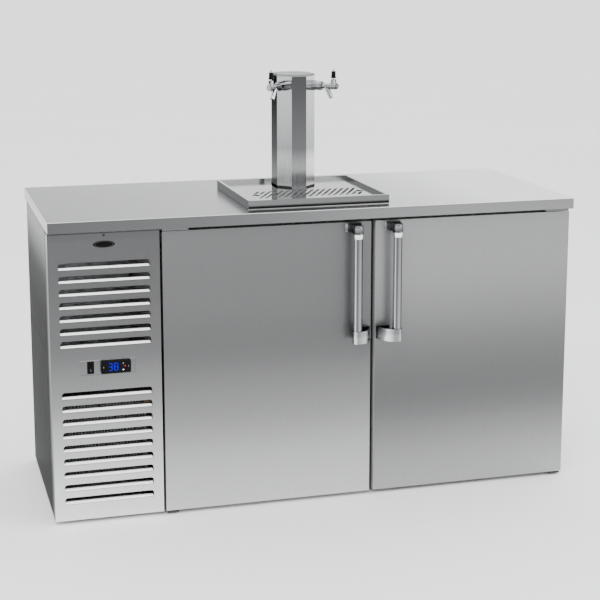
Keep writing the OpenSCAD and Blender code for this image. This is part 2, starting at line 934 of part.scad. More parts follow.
module drip_grate() {
    w = grate_w - 2 * grate_fit;
    d = grate_d - 2 * grate_fit;
    half_x = w / 2 - grate_edge - slot_w / 2;
    half_y = d / 2 - grate_edge;
    count = ceil((half_x + half_y * tan(slot_lean)) / slot_pitch);
    color(steel())
        translate([tap_x, drain_y, floor_top - plate_t])
            difference() {
                translate([-w / 2, -d / 2, 0])
                    cube([w, d, plate_t]);
                difference() {
                    for (k = [-count : count])
                        slanted_slot(k * slot_pitch, half_x, half_y);
                    finger_holes(hole_r + 6);
                }
                finger_holes(hole_r);
            }
}

// One slanted slot through x on the grate's middle line, kept inside the two half widths.
module slanted_slot(x, half_x, half_y) {
    t = tan(slot_lean);
    y0 = max(-half_y, (-half_x - x) / t);
    y1 = min(half_y, (half_x - x) / t);
    if (y1 - y0 > 2 * slot_w)
        translate([x + (y0 + y1) / 2 * t, (y0 + y1) / 2, -1])
            rotate([0, 0, -slot_lean])
                grate_slot((y1 - y0) / cos(slot_lean), slot_w);
}

// A round-ended slot of length l and width w along Y.
module grate_slot(l, w) {
    translate([-w / 2, -l / 2 + w / 2, 0])
        cube([w, l - w, 8]);
    for (s = [-1, 1])
        translate([0, s * (l / 2 - w / 2), 0])
            cylinder(h = 8, d = w);
}

drain_end = ceiling_z - 70;
drain_tail = 40;

module tray_drain() {
    color(steel())
        difference() {
            union() {
                slab(tap_x - grate_w / 2 - pan_t, tap_x + grate_w / 2 + pan_t, sump_y0 - pan_t,
                    sump_y0 + grate_d + pan_t, sump_z, sump_z + pan_t);
                post(tap_x, drain_y, sump_z + pan_t - e, sump_z + pan_t + 1.5, 14);
                post(tap_x, drain_y, drain_end + drain_tail, sump_z + pan_t + e, drain_pipe_r);
                post(tap_x, drain_y, drain_end, drain_end + drain_tail + e, drain_pipe_r - 0.5);
            }
            post(tap_x, drain_y, drain_end - 1, rim_z, drain_pipe_r - 2);
        }
}

// The tower's eight-sided outline, moved outward by g.
module outline(g) {
    a = column_w / 2 + g;
    b = column_d / 2 + g;
    c = bevel_w + (2 - r2) * g;
    polygon([
        [-a, -b + c], [-a + c, -b], [a - c, -b], [a, -b + c],
        [a, b - c], [a - c, b], [-a + c, b], [-a, b - c]
    ]);
}

module prism(g, z0, z1) {
    translate([tap_x, column_cy, z0])
        linear_extrude(height = z1 - z0)
            outline(g);
}

module tower_base_ring() {
    color(steel())
        difference() {
            prism(1, floor_top, column_z);
            post(tap_x, column_cy, floor_top - 1, column_z + 1, throat_r);
        }
}

cap_t = 6;
shank_r = 11;
shank_in = 30;
shank_out = 30;

// Places its children on a front corner face of the tower, X pointing out of the face.
module at_tap(side) {
    translate([tap_x + side * facet_dx, facet_y, tap_z])
        rotate([0, 0, side > 0 ? -45 : -135])
            children();
}

module tower_column() {
    color(steel())
        difference() {
            prism(0, column_z, column_top - cap_t);
            prism(-wall_t, column_z - 1, column_top);
            for (s = [-1, 1])
                at_tap(s)
                    rod_x(-20, 20, 0, 0, shank_r);
        }
}

module tower_cap() {
    color(steel()) {
        prism(0, column_top - cap_t, column_top);
        prism(-wall_t - 0.1, column_top - cap_t - 4, column_top - cap_t + e);
    }
}

module shanks() {
    color(steel())
        for (s = [-1, 1])
            at_tap(s)
                difference() {
                    union() {
                        rod_x(-shank_in, shank_out, 0, 0, shank_r);
                        rod_x(0, 15, 0, 0, 15);
                        rod_x(14, 22, 0, 0, 13);
                    }
                    rod_x(-shank_in - 1, shank_out + 1, 0, 0, 4);
                }
}

spigot_r = 9;

module coupling_nuts() {
    color(steel())
        for (s = [-1, 1])
            at_tap(s)
                difference() {
                    union() {
                        rod_x(23, 40, 0, 0, 12.5);
                        rod_x(25, 37, 0, 0, 13.5);
                    }
                    rod_x(22, shank_out, 0, 0, shank_r);
                    rod_x(shank_out - e, 41, 0, 0, spigot_r);
                }
}

spout_lean = 28;
barrel_r = 9.5;
plunger_r = 4.2;
plunger_x0 = 58;
plunger_x1 = 84;
ball_r = 5;
bonnet_r = 8.25;

module spout_rod(l, r) {
    translate([52, 0, 0])
        rotate([0, 180 - spout_lean, 0])
            cylinder(h = l, r = r);
}

module faucet_bodies() {
    color(steel())
        for (s = [-1, 1])
            at_tap(s)
                difference() {
                    union() {
                        rod_x(shank_out, 41, 0, 0, spigot_r);
                        rod_x(41 - e, 66, 0, 0, 7.5);
                        rod_x(64, 88, 0, 0, barrel_r);
                        rod_x(88 - e, 91, 0, 0, 7);
                        post(pivot_d, 0, 0, 10, bonnet_r);
                        spout_rod(39, 7);
                    }
                    rod_x(shank_out - 1, 51, 0, 0, 4);
                    rod_x(50, 86, 0, 0, plunger_r + move_gap);
                    spout_rod(41, 4.5);
                    post(pivot_d, 0, 0, 11, ball_r + move_gap);
                    slab(pivot_d - 9, pivot_d, -3.2, 3.2, 0, 6.5);
                }
}

module faucet_bonnets() {
    color(steel())
        for (s = [-1, 1])
            at_tap(s)
                difference() {
                    post(pivot_d, 0, 10, 20, bonnet_r);
                    post(pivot_d, 0, 9, 21, ball_r + move_gap);
                    slab(pivot_d, pivot_d + 12, -3.4, 3.4, 12, 21);
                }
}

stud_r = 2.5;
rod_r = 2.8;
knob_z0 = 24;
knob_z1 = 44;
stud_z = 51;
arm_r = 2.2;

module lever(s) {
    color(steel())
        at_tap(s) {
            translate([pivot_d, 0, pivot_h])
                sphere(r = ball_r);
            translate([pivot_d, 0, 0])
                sphere(r = arm_r + 0.4);
            post(pivot_d, 0, 0, pivot_h, arm_r);
            post(pivot_d, 0, pivot_h, knob_z1, rod_r);
            post(pivot_d, 0, knob_z1 - e, stud_z, stud_r);
        }
}

module knob(s) {
    color(dark())
        at_tap(s)
            difference() {
                union() {
                    post(pivot_d, 0, knob_z0, knob_z0 + 4, 8);
                    post(pivot_d, 0, knob_z0 + 4 - e, knob_z1, 6.5);
                }
                post(pivot_d, 0, knob_z0 - 1, knob_z1 + 1, rod_r);
            }
}

module plunger(s) {
    color([0.75, 0.6, 0.3])
        at_tap(s)
            difference() {
                rod_x(plunger_x0, plunger_x1, 0, 0, plunger_r);
                slab(pivot_d - 3, pivot_d + 3, -3.1, 3.1, -6, 6);
                slab(pivot_d - 6, pivot_d + 6, -6, 6, 0.8, 6);
            }
}

module left_lever() {
    lever(-1);
}

module right_lever() {
    lever(1);
}

module left_knob() {
    knob(-1);
}

module right_knob() {
    knob(1);
}

module left_plunger() {
    plunger(-1);
}

module right_plunger() {
    plunger(1);
}

tube_r = 4.5;
tube_in = shank_in + 8;
tube_dx = facet_dx - tube_in / r2;
tube_y = facet_y + tube_in / r2;
tube_end = ceiling_z - 90;
tube_tail = 30;

module product_tubes() {
    color([0.85, 0.86, 0.84])
        for (s = [-1, 1]) {
            at_tap(s)
                rod_x(-tube_in, -shank_in, 0, 0, tube_r);
            translate([tap_x + s * tube_dx, tube_y, tap_z])
                sphere(r = tube_r + 0.4);
            post(tap_x + s * tube_dx, tube_y, tube_end + tube_tail, tap_z, tube_r);
            post(tap_x + s * tube_dx, tube_y, tube_end, tube_end + tube_tail + e, tube_r - 0.5);
        }
}

evap_fan_in = 72;
evap_fan_d = 104;
evap_fan_y = evap_y + evap_fan_in;
evap_mid = evap_z + evap_h / 2;
evap_mouth_r = 58;
evap_wall = 1.5;
evap_motor_l = 22;
evap_shaft_l = 28;
vent_y = 145;
vent_l = 80;
vent_h = 10;
vent_pitch = 19;
fin_in = 142;
fin_l = 88;
fin_w = 70;
fin_edge = 14;
fin_pitch = 8;

module evaporator_cover() {
    x1 = wall_x + evap_t;
    w = evap_wall;
    color([0.85, 0.86, 0.87]) {
        difference() {
            slab(wall_x, x1, evap_y, evap_y + evap_l, evap_z, evap_z + evap_h);
            slab(wall_x - 1, x1 - w, evap_y + w, evap_y + evap_l - w, evap_z + w, evap_z + evap_h - w);
            rod_x(x1 - 2 * w, x1 + 1, evap_fan_y, evap_mid, evap_mouth_r);
            for (k = [-3 : 3])
                slab(x1 - 2 * w, x1 + 1, evap_y + vent_y, evap_y + vent_y + vent_l,
                    evap_mid + vent_pitch * k - vent_h / 2, evap_mid + vent_pitch * k + vent_h / 2);
        }
        for (a = [0 : 60 : 120])
            translate([x1 - w, evap_fan_y, evap_mid])
                rotate([a, 0, 0])
                    slab(0, w, -evap_mouth_r - 2, evap_mouth_r + 2, -2, 2);
        rod_x(x1 - evap_motor_l, x1, evap_fan_y, evap_mid, hub_r);
        rod_x(x1 - evap_motor_l - evap_shaft_l, x1 - evap_motor_l + e, evap_fan_y, evap_mid, shaft_r);
    }
}

module evaporator_coil() {
    y0 = evap_y + fin_in;
    z0 = evap_z + fin_edge;
    z1 = evap_z + evap_h - fin_edge;
    color(zinc()) {
        for (z = [z0, z1 - 2])
            slab(wall_x, wall_x + fin_w, y0, y0 + fin_l, z, z + 2);
        for (z = [z0 + fin_pitch : fin_pitch : z1 - fin_pitch])
            slab(wall_x + 8, wall_x + fin_w - 4, y0 + 4, y0 + fin_l - 4, z, z + 1);
        for (x = [wall_x + 22, wall_x + fin_w - 18], k = [-1 : 1])
            post(x, y0 + fin_l / 2 + fin_l * 0.3 * k, z0, z1, pipe_r);
    }
}

module evaporator_fan() {
    color(dark())
        translate([wall_x + evap_t - evap_motor_l - evap_shaft_l + 2, evap_fan_y, evap_mid])
            rotate([0, 0, -90])
                fan_wheel(evap_fan_d, 5);
}

levelling_feet();
base_tray();
left_side_lower();
left_side_upper();
right_side_panel();
back_panel();
cord_gland();
foam_walls();
inner_liner();
door_frame();
worktop();
louvre_panel();
badge_plate();
control_plate();
switch_housing();
switch_rocker();
controller_housing();
display_window();
left_key();
right_key();
condenser_coil();
fan_motor();
condenser_fan();
compressor();
copper_lines();
evaporator_cover();
evaporator_coil();
evaporator_fan();
upper_hinges();
lower_hinges();
left_door_skin();
left_door_liner();
left_door_gasket();
left_grip();
left_handle_head();
left_handle_foot();
right_door_skin();
right_door_liner();
right_door_gasket();
right_grip();
right_handle_head();
right_handle_foot();
drip_tray();
tray_seals();
drip_grate();
tray_drain();
tower_base_ring();
tower_column();
tower_cap();
shanks();
coupling_nuts();
faucet_bodies();
faucet_bonnets();
left_lever();
right_lever();
left_knob();
right_knob();
left_plunger();
right_plunger();
product_tubes();
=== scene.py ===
import json
import math
import bmesh
import bpy
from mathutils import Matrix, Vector

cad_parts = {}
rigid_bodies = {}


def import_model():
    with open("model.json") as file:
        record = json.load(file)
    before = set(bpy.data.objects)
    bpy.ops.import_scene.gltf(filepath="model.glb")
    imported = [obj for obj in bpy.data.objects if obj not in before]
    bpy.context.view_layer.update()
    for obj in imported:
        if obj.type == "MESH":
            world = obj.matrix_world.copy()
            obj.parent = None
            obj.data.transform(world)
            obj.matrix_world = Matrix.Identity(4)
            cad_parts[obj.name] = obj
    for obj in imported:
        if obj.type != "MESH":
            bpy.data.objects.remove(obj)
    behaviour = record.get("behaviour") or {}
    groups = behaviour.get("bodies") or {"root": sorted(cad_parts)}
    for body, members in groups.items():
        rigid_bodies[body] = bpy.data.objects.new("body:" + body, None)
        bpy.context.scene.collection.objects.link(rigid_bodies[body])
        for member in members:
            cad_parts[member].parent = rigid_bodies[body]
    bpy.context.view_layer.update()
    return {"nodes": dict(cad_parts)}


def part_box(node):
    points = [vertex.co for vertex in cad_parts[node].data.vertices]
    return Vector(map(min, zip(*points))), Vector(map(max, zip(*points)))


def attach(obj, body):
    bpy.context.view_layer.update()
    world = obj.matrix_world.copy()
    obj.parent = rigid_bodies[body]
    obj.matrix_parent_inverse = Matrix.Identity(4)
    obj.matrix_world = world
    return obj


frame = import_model()
nodes = frame["nodes"]
bpy.ops.object.select_all(action="DESELECT")

# Studio: the camera stands a little above the worktop and to the left of the cooler,
# as in the photograph, on a pale floor that runs far behind it.
EYE = (-1.1456, -4.1114, 1.5409)
TURN = math.radians(15.792)
DIP = math.radians(10.494)
FILM, LENS, LENS_RISE = 36, 87.26, -0.12
FLOOR_SIDE = 400

bpy.ops.object.camera_add(location=EYE, rotation=(math.pi / 2 - DIP, 0, -TURN))
camera = bpy.context.object
camera.data.sensor_width = FILM
camera.data.lens = LENS
camera.data.shift_y = LENS_RISE
bpy.context.scene.camera = camera


def shader(name, metal=0.0, rough=0.5):
    """A new material with its node and link makers and its Principled shader."""
    material = bpy.data.materials.new(name)
    material.use_nodes = True
    tree = material.node_tree
    skin = tree.nodes["Principled BSDF"]
    skin.inputs["Metallic"].default_value = metal
    skin.inputs["Roughness"].default_value = rough
    return material, tree.nodes.new, tree.links.new, skin


def stretched_noise(add, link, scale, detail=3.0):
    """Noise on the piece's own coordinates, with its own scale along X, Y and Z per metre."""
    place = add("ShaderNodeTexCoord")
    stretch = add("ShaderNodeMapping")
    stretch.inputs["Scale"].default_value = scale
    link(place.outputs["Object"], stretch.inputs["Vector"])
    noise = add("ShaderNodeTexNoise")
    noise.inputs["Scale"].default_value = 1.0
    noise.inputs["Detail"].default_value = detail
    link(stretch.outputs["Vector"], noise.inputs["Vector"])
    return noise.outputs["Fac"]


NOISE_LOW, NOISE_HIGH = 0.3, 0.7


def tint(add, link, source, dark, light, skin):
    """Base colour that wanders between two near tones."""
    ramp = add("ShaderNodeValToRGB")
    ramp.color_ramp.elements[0].position = NOISE_LOW
    ramp.color_ramp.elements[0].color = (*dark, 1)
    ramp.color_ramp.elements[1].position = NOISE_HIGH
    ramp.color_ramp.elements[1].color = (*light, 1)
    link(source, ramp.inputs["Fac"])
    link(ramp.outputs["Color"], skin.inputs["Base Color"])


floor_paint, add, link, skin = shader("floor_paint", rough=0.9)
cloud = stretched_noise(add, link, (0.6, 0.6, 0.6))
tint(add, link, cloud, (0.92, 0.92, 0.92), (0.94, 0.94, 0.94), skin)
bpy.ops.mesh.primitive_plane_add(size=FLOOR_SIDE)
floor = bpy.context.object
floor.name = "studio_floor"
floor.data.materials.append(floor_paint)

# The air round it is brightest to the right behind the cooler and over it, and falls
# off to the left and behind the camera, as between white studio walls.
BRIGHT_WAY = (0.55, 0.62, 0.55)
DIM_FROM, BRIGHT_FROM = -0.6, 0.9
DIM, BRIGHT = 0.9, 2.7
air = bpy.data.worlds.new("studio_air")
air.use_nodes = True
add, link = air.node_tree.nodes.new, air.node_tree.links.new
backdrop = air.node_tree.nodes["Background"]
backdrop.inputs["Color"].default_value = (0.98, 0.99, 1.0, 1)
look = add("ShaderNodeTexCoord")
toward = add("ShaderNodeVectorMath")
toward.operation = "DOT_PRODUCT"
toward.inputs[1].default_value = BRIGHT_WAY
link(look.outputs["Generated"], toward.inputs[0])
glow = add("ShaderNodeMapRange")
glow.inputs["From Min"].default_value = DIM_FROM
glow.inputs["From Max"].default_value = BRIGHT_FROM
glow.inputs["To Min"].default_value = DIM
glow.inputs["To Max"].default_value = BRIGHT
link(toward.outputs["Value"], glow.inputs["Value"])
link(glow.outputs["Result"], backdrop.inputs["Strength"])
bpy.context.scene.world = air


def soft_box(name, place, aim, size, power):
    """A square studio light at place that faces aim."""
    bpy.ops.object.light_add(type="AREA", location=place)
    light = bpy.context.object
    light.name = name
    light.data.size = size
    light.data.energy = power
    light.rotation_euler = (Vector(aim) - Vector(place)).to_track_quat("-Z", "Y").to_euler()
    return light


MIDDLE, BOX_SIDE = (0, 0, 0.6), 2.5
soft_box("key_light", (-2.0, -3.5, 4.0), MIDDLE, BOX_SIDE, 160)
soft_box("fill_light", (3.5, -2.5, 2.5), MIDDLE, BOX_SIDE, 60)


# Levelling feet: black rubber pads moulded on short threaded stems, four of the same,
# screwed up into the corners of the base tray.
def spread(add, link, source, low, high):
    """The middle of a noise stretched to run from low to high."""
    ranged = add("ShaderNodeMapRange")
    ranged.inputs["From Min"].default_value = NOISE_LOW
    ranged.inputs["From Max"].default_value = NOISE_HIGH
    ranged.inputs["To Min"].default_value = low
    ranged.inputs["To Max"].default_value = high
    link(source, ranged.inputs["Value"])
    return ranged.outputs["Result"]


def grain_bump(add, link, source, depth, skin):
    """Fine relief of the surface, depth in metres."""
    bump = add("ShaderNodeBump")
    bump.inputs["Strength"].default_value = 1.0
    bump.inputs["Distance"].default_value = depth
    link(source, bump.inputs["Height"])
    link(bump.outputs["Normal"], skin.inputs["Normal"])


def moulded(name, colour, rough, pebble=0.00004, gloss=0.5):
    """Moulded plastic or rubber: a near even colour with a fine pebbled skin."""
    material, add, link, skin = shader(name, rough=rough)
    skin.inputs["Specular IOR Level"].default_value = gloss
    speck = stretched_noise(add, link, (900, 900, 900), 2.0)
    cloud = stretched_noise(add, link, (14, 14, 14), 4.0)
    dark = [c * 0.95 for c in colour]
    light = [c * 1.04 for c in colour]
    tint(add, link, cloud, dark, light, skin)
    link(spread(add, link, cloud, rough - 0.05, rough + 0.07), skin.inputs["Roughness"])
    grain_bump(add, link, speck, pebble, skin)
    return material


def finish(material, *names):
    """The CAD nodes of these names take this material."""
    for name in names:
        nodes[name].data.materials.clear()
        nodes[name].data.materials.append(material)


foot_rubber = moulded("foot_rubber", (0.028, 0.028, 0.03), 0.7, gloss=0.2)
finish(foot_rubber, "levelling_feet")

# Base tray and back panel: galvanised sheet folded in a brake and riveted together.
# The zinc shows a faint spangle, with crystals of about 14 mm.
CRYSTALS_PER_M = 70.0
galvanised, add, link, skin = shader("galvanised_sheet", metal=1.0, rough=0.45)
place = add("ShaderNodeTexCoord")
spangle = add("ShaderNodeTexVoronoi")
spangle.inputs["Scale"].default_value = CRYSTALS_PER_M
link(place.outputs["Object"], spangle.inputs["Vector"])
shade = add("ShaderNodeSeparateColor")
link(spangle.outputs["Color"], shade.inputs["Color"])
tint(add, link, shade.outputs["Red"], (0.27, 0.28, 0.29), (0.34, 0.35, 0.36), skin)
link(spread(add, link, shade.outputs["Green"], 0.38, 0.52), skin.inputs["Roughness"])
finish(galvanised, "base_tray", "back_panel")


# Side panels: brushed stainless sheet on the left, in an upper and a lower piece with
# a level seam between them, and one whole sheet on the right.
def grey_ramp(add, link, source, tones, blend="CARDINAL"):
    """A faintly cool grey that follows source through tones, pairs of place and grey."""
    ramp = add("ShaderNodeValToRGB")
    ramp.color_ramp.interpolation = blend
    stops = ramp.color_ramp.elements
    stops[0].position, stops[1].position = tones[0][0], tones[-1][0]
    for position, _ in tones[1:-1]:
        stops.new(position)
    for stop, (_, tone) in zip(stops, tones):
        stop.color = (tone, tone * 1.005, tone * 1.015, 1)
    link(source, ramp.inputs["Fac"])
    return ramp.outputs["Color"]


def tone_drift(add, link, tones, start, end, blend="CARDINAL"):
    """A colour that drifts through tones, pairs of place and grey, from start to end in metres."""
    run = Vector(end) - Vector(start)
    place = add("ShaderNodeTexCoord")
    offset = add("ShaderNodeVectorMath")
    offset.operation = "SUBTRACT"
    offset.inputs[1].default_value = start
    link(place.outputs["Object"], offset.inputs[0])
    along = add("ShaderNodeVectorMath")
    along.operation = "DOT_PRODUCT"
    along.inputs[1].default_value = run / run.length_squared
    link(offset.outputs["Vector"], along.inputs[0])
    return grey_ramp(add, link, along.outputs["Value"], tones, blend)


def brushed(add, link, skin, colour, grain, rough, relief=0.00001):
    """Lays hair-fine grain over a steel colour, in its tone, gloss and relief in metres."""
    hair = stretched_noise(add, link, grain, 4.0)
    streak = add("ShaderNodeVectorMath")
    streak.operation = "SCALE"
    link(colour, streak.inputs[0])
    link(spread(add, link, hair, 0.965, 1.035), streak.inputs["Scale"])
    link(streak.outputs["Vector"], skin.inputs["Base Color"])
    link(spread(add, link, hair, rough - 0.06, rough + 0.06), skin.inputs["Roughness"])
    grain_bump(add, link, hair, relief, skin)


def brushed_steel(name, tones, start, end, grain, rough=0.33, edge=1.0, metal=1.0, relief=0.00001):
    """Stainless sheet under fine grain. edge is how bright it stays at a glancing look."""
    material, add, link, skin = shader(name, metal=metal, rough=rough)
    skin.inputs["Specular Tint"].default_value = (edge, edge, edge, 1)
    brushed(add, link, skin, tone_drift(add, link, tones, start, end), grain, rough, relief)
    return material


UPRIGHT_GRAIN = (700, 700, 9)
side_low, side_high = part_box("left_side_lower")[0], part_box("left_side_upper")[1]
side_run = (side_low, (side_low.x, side_low.y, side_high.z))
# Painted reflection and shade on the left side: darkest at mid height, bright at its top.
side_painted_reflection = [(0, 0.19), (0.2, 0.12), (0.5, 0.07), (0.72, 0.12), (0.86, 0.38), (1, 1.15)]
side_steel = brushed_steel("side_steel", side_painted_reflection, *side_run, UPRIGHT_GRAIN, edge=0.1)
finish(side_steel, "left_side_lower", "left_side_upper")
# A milder painted reflection on the right side, darker at mid height.
right_painted_reflection = [(0, 0.42), (0.5, 0.3), (1, 0.4)]
right_steel = brushed_steel("right_steel", right_painted_reflection, *side_run, UPRIGHT_GRAIN, edge=0.5)
finish(right_steel, "right_side_panel")

# Cord gland: a black nylon strain relief pressed into the back panel's hole.
# The cord itself is left off, as in the photograph.
matt_plastic = moulded("matt_plastic", (0.005, 0.005, 0.006), 0.5, gloss=0.05)
finish(matt_plastic, "cord_gland")

# Cold box: foam poured between the outer sheets and an aluminium liner, closed by its
# own skin, and a grey plastic frame round the door openings that breaks the cold path.
finish(moulded("foam_skin", (0.42, 0.42, 0.41), 0.9, 0.0002, 0.1), "foam_walls")
LINER_FOOT, LINER_TOP = (0, 0, 0.05), (0, 0, 0.8)
liner_metal = brushed_steel(
    "liner_metal", [(0, 0.62), (1, 0.70)], LINER_FOOT, LINER_TOP, (300, 300, 30), 0.42)
finish(liner_metal, "inner_liner")
finish(moulded("frame_plastic", (0.30, 0.31, 0.32), 0.5), "door_frame")

# Cooling machine: a welded compressor can and a motor in black enamel, soft copper
# lines, and a finned condenser dipped in dark paint, kept darker as painted shade behind the louvres,
# with its aluminium fan wheel.
enamel = moulded("black_enamel", (0.022, 0.022, 0.025), 0.3, 0.00002)
finish(enamel, "compressor", "fan_motor")


def drawn_metal(name, colour, rough, grain=(60, 60, 60)):
    """Drawn or pressed metal: cloudy tone and a little spread in its gloss."""
    material, add, link, skin = shader(name, metal=1.0, rough=rough)
    cloud = stretched_noise(add, link, grain, 4.0)
    tint(add, link, cloud, [c * 0.88 for c in colour], [c * 1.06 for c in colour], skin)
    link(spread(add, link, cloud, rough - 0.06, rough + 0.08), skin.inputs["Roughness"])
    return material


finish(drawn_metal("copper_pipe", (0.68, 0.34, 0.20), 0.32), "copper_lines")
# The fins' dark coat is kept darker as painted shade for the view through the louvres.
finish(drawn_metal("dipped_and_shaded_fins", (0.36, 0.36, 0.365), 0.65, (12, 12, 12)), "condenser_coil")
finish(drawn_metal("fan_aluminium", (0.62, 0.63, 0.64), 0.38), "condenser_fan")

# Evaporator: an aluminium coil and a black plastic fan behind a pressed cover, screwed
# into the corner of the cold box.
fin_aluminium = drawn_metal("fin_aluminium", (0.66, 0.67, 0.69), 0.42, (40, 900, 900))
finish(fin_aluminium, "evaporator_coil")
finish(liner_metal, "evaporator_cover")
finish(matt_plastic, "evaporator_fan")


# Worktop: one heavy stainless sheet, folded down round its edge and bonded over foam.
# The folds are slightly round, and a thin painted highlight runs along them.
def mixed(add, link, factor, first, second):
    """first where factor is nought and second where it is one; second may be a plain grey."""
    mix = add("ShaderNodeMix")
    mix.data_type = "RGBA"
    link(factor, mix.inputs["Factor"])
    link(first, mix.inputs["A"])
    if isinstance(second, float):
        mix.inputs["B"].default_value = (second, second, second, 1)
    else:
        link(second, mix.inputs["B"])
    return mix.outputs["Result"]


def facing(add, link):
    """The X, Y and Z parts of the way the surface faces."""
    place = add("ShaderNodeTexCoord")
    parts = add("ShaderNodeSeparateXYZ")
    link(place.outputs["Normal"], parts.inputs["Vector"])
    return parts.outputs


def part_way(add, link, source, start, end):
    """Nought at start, one at end, and no further."""
    ranged = add("ShaderNodeMapRange")
    ranged.inputs["From Min"].default_value = start
    ranged.inputs["From Max"].default_value = end
    link(source, ranged.inputs["Value"])
    return ranged.outputs["Result"]


LEVEL_GRAIN = (9, 700, 700)
FOLD_R, FACET_GAP = 0.002, 0.000005
SHARP = math.radians(50)
top_low, top_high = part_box("worktop")
across = (top_low, (top_high.x, top_low.y, top_low.z))
worktop_steel, add, link, skin = shader("worktop_steel", metal=1.0)
skin.inputs["Specular Tint"].default_value = (0.6, 0.6, 0.6, 1)

# The apron is painted dark in front with a painted highlight at its left end, the deck has
# a painted reflection that lightens to the right, and the fold between them a painted highlight.
faces = facing(add, link)
apron_shade_and_highlight = tone_drift(add, link, [(0, 0.09), (0.4, 0.14), (0.7, 0.21), (1, 0.22)], *across)
apron_shade_and_highlight = mixed(add, link, part_way(add, link, faces["X"], -0.5, -0.95), apron_shade_and_highlight, 1.7)
deck_reflection = tone_drift(add, link, [(0, 0.26), (0.5, 0.47), (0.75, 0.75), (1, 1.25)], *across)
line = [(0, 0), (0.15, 1), (0.85, 1), (0.97, 0), (1, 0)]
fold_highlight = grey_ramp(add, link, faces["Z"], line, "LINEAR")
steel = mixed(add, link, faces["Z"], apron_shade_and_highlight, deck_reflection)
brushed(add, link, skin, mixed(add, link, fold_highlight, steel, 1.0), LEVEL_GRAIN, 0.22)
finish(worktop_steel, "worktop")
weld = nodes["worktop"].modifiers.new("joined_facets", "WELD")
weld.merge_threshold = FACET_GAP
bevel = nodes["worktop"].modifiers.new("eased_edges", "BEVEL")
bevel.width = FOLD_R
bevel.segments = 2
bevel.limit_method = "ANGLE"
bevel.angle_limit = SHARP
bevel.harden_normals = True


# Louvred panel: stainless sheet in front of the machine bay, with two groups of slots
# whose tongues are folded inward. It hangs under the worktop and lifts off.
def times(add, link, first, second):
    """One grey scaled by another."""
    product = add("ShaderNodeVectorMath")
    product.operation = "MULTIPLY"
    link(first, product.inputs[0])
    link(second, product.inputs[1])
    return product.outputs["Vector"]


panel_low, panel_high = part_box("louvre_panel")
panel_mid = (panel_low + panel_high) / 2
panel_wide = (panel_low, (panel_high.x, panel_low.y, panel_low.z))
panel_deep = (panel_low, (panel_low.x, panel_high.y, panel_low.z))
panel_run = (panel_low, (panel_low.x, panel_low.y, panel_high.z))
# Painted reflection on the sheet: light at its foot, dark over its upper half.
panel_painted_reflection = [(0, 0.8), (0.17, 0.56), (0.36, 0.28), (0.54, 0.14), (0.74, 0.1), (1, 0.09)]
panel_steel, add, link, skin = shader("panel_steel", metal=1.0)
skin.inputs["Specular Tint"].default_value = (0.4, 0.4, 0.4, 1)

# The tongues are what lies behind the sheet and between the flanges. They are matt,
# with a painted highlight in front and painted shade where they reach in.
inward = tone_drift(add, link, [(0, 0), (0.03, 0), (0.05, 1), (1, 1)], *panel_deep, "LINEAR")
between = tone_drift(add, link, [(0, 0), (0.07, 0), (0.08, 1), (0.92, 1), (0.93, 0), (1, 0)],
                     *panel_wide, "LINEAR")
tongue = add("ShaderNodeMath")
tongue.operation = "MULTIPLY"
link(inward, tongue.inputs[0])
link(between, tongue.inputs[1])
sheen = add("ShaderNodeMath")
sheen.operation = "SUBTRACT"
sheen.inputs[0].default_value = 1
link(tongue.outputs["Value"], sheen.inputs[1])
link(sheen.outputs["Value"], skin.inputs["Metallic"])
tongue_light_and_shade = tone_drift(add, link, [(0, 0.95), (0.29, 0.95), (0.33, 0.05), (1, 0.05)],
                         *panel_deep, "LINEAR")

# The sheet carries a painted reflection that lightens to its foot, its left flange a painted
# highlight of its own, and a dark painted shadow runs along its top.
sheet = tone_drift(add, link, panel_painted_reflection, *panel_run)
flange_highlight = times(add, link,
               tone_drift(add, link, [(0, 0.4), (0.7, 0.3), (0.9, 0.5), (1, 1.0)], *panel_run),
               tone_drift(add, link, [(0, 1.0), (0.55, 1.0), (0.7, 0.25), (1, 0.25)], *panel_deep))
sheet = mixed(add, link, part_way(add, link, facing(add, link)["X"], -0.5, -0.9), sheet, flange_highlight)
sheet = mixed(add, link, tongue.outputs["Value"], sheet, tongue_light_and_shade)
# A dark painted shadow along the panel's top, under the worktop's edge.
top_shadow = tone_drift(add, link, [(0, 0), (0.9962, 0), (0.9968, 1), (1, 1)], *panel_run, "LINEAR")
brushed(add, link, skin, mixed(add, link, top_shadow, sheet, 0.03), UPRIGHT_GRAIN, 0.33)
finish(panel_steel, "louvre_panel")

# A lamp above and in front of the louvred panel shines on that panel alone, so that
# its tongues stand out.
LAMP_PLACE, LAMP_AIM = (-0.9, -2.6, 2.9), (-0.609, -0.27, 0.42)
LAMP_SIDE, LAMP_POWER = 0.3, 200
louvre_light = soft_box("louvre_light", LAMP_PLACE, LAMP_AIM, LAMP_SIDE, LAMP_POWER)
lit_by_it = bpy.data.collections.new("lit_by_louvre_light")
lit_by_it.objects.link(nodes["louvre_panel"])
louvre_light.light_linking.receiver_collection = lit_by_it

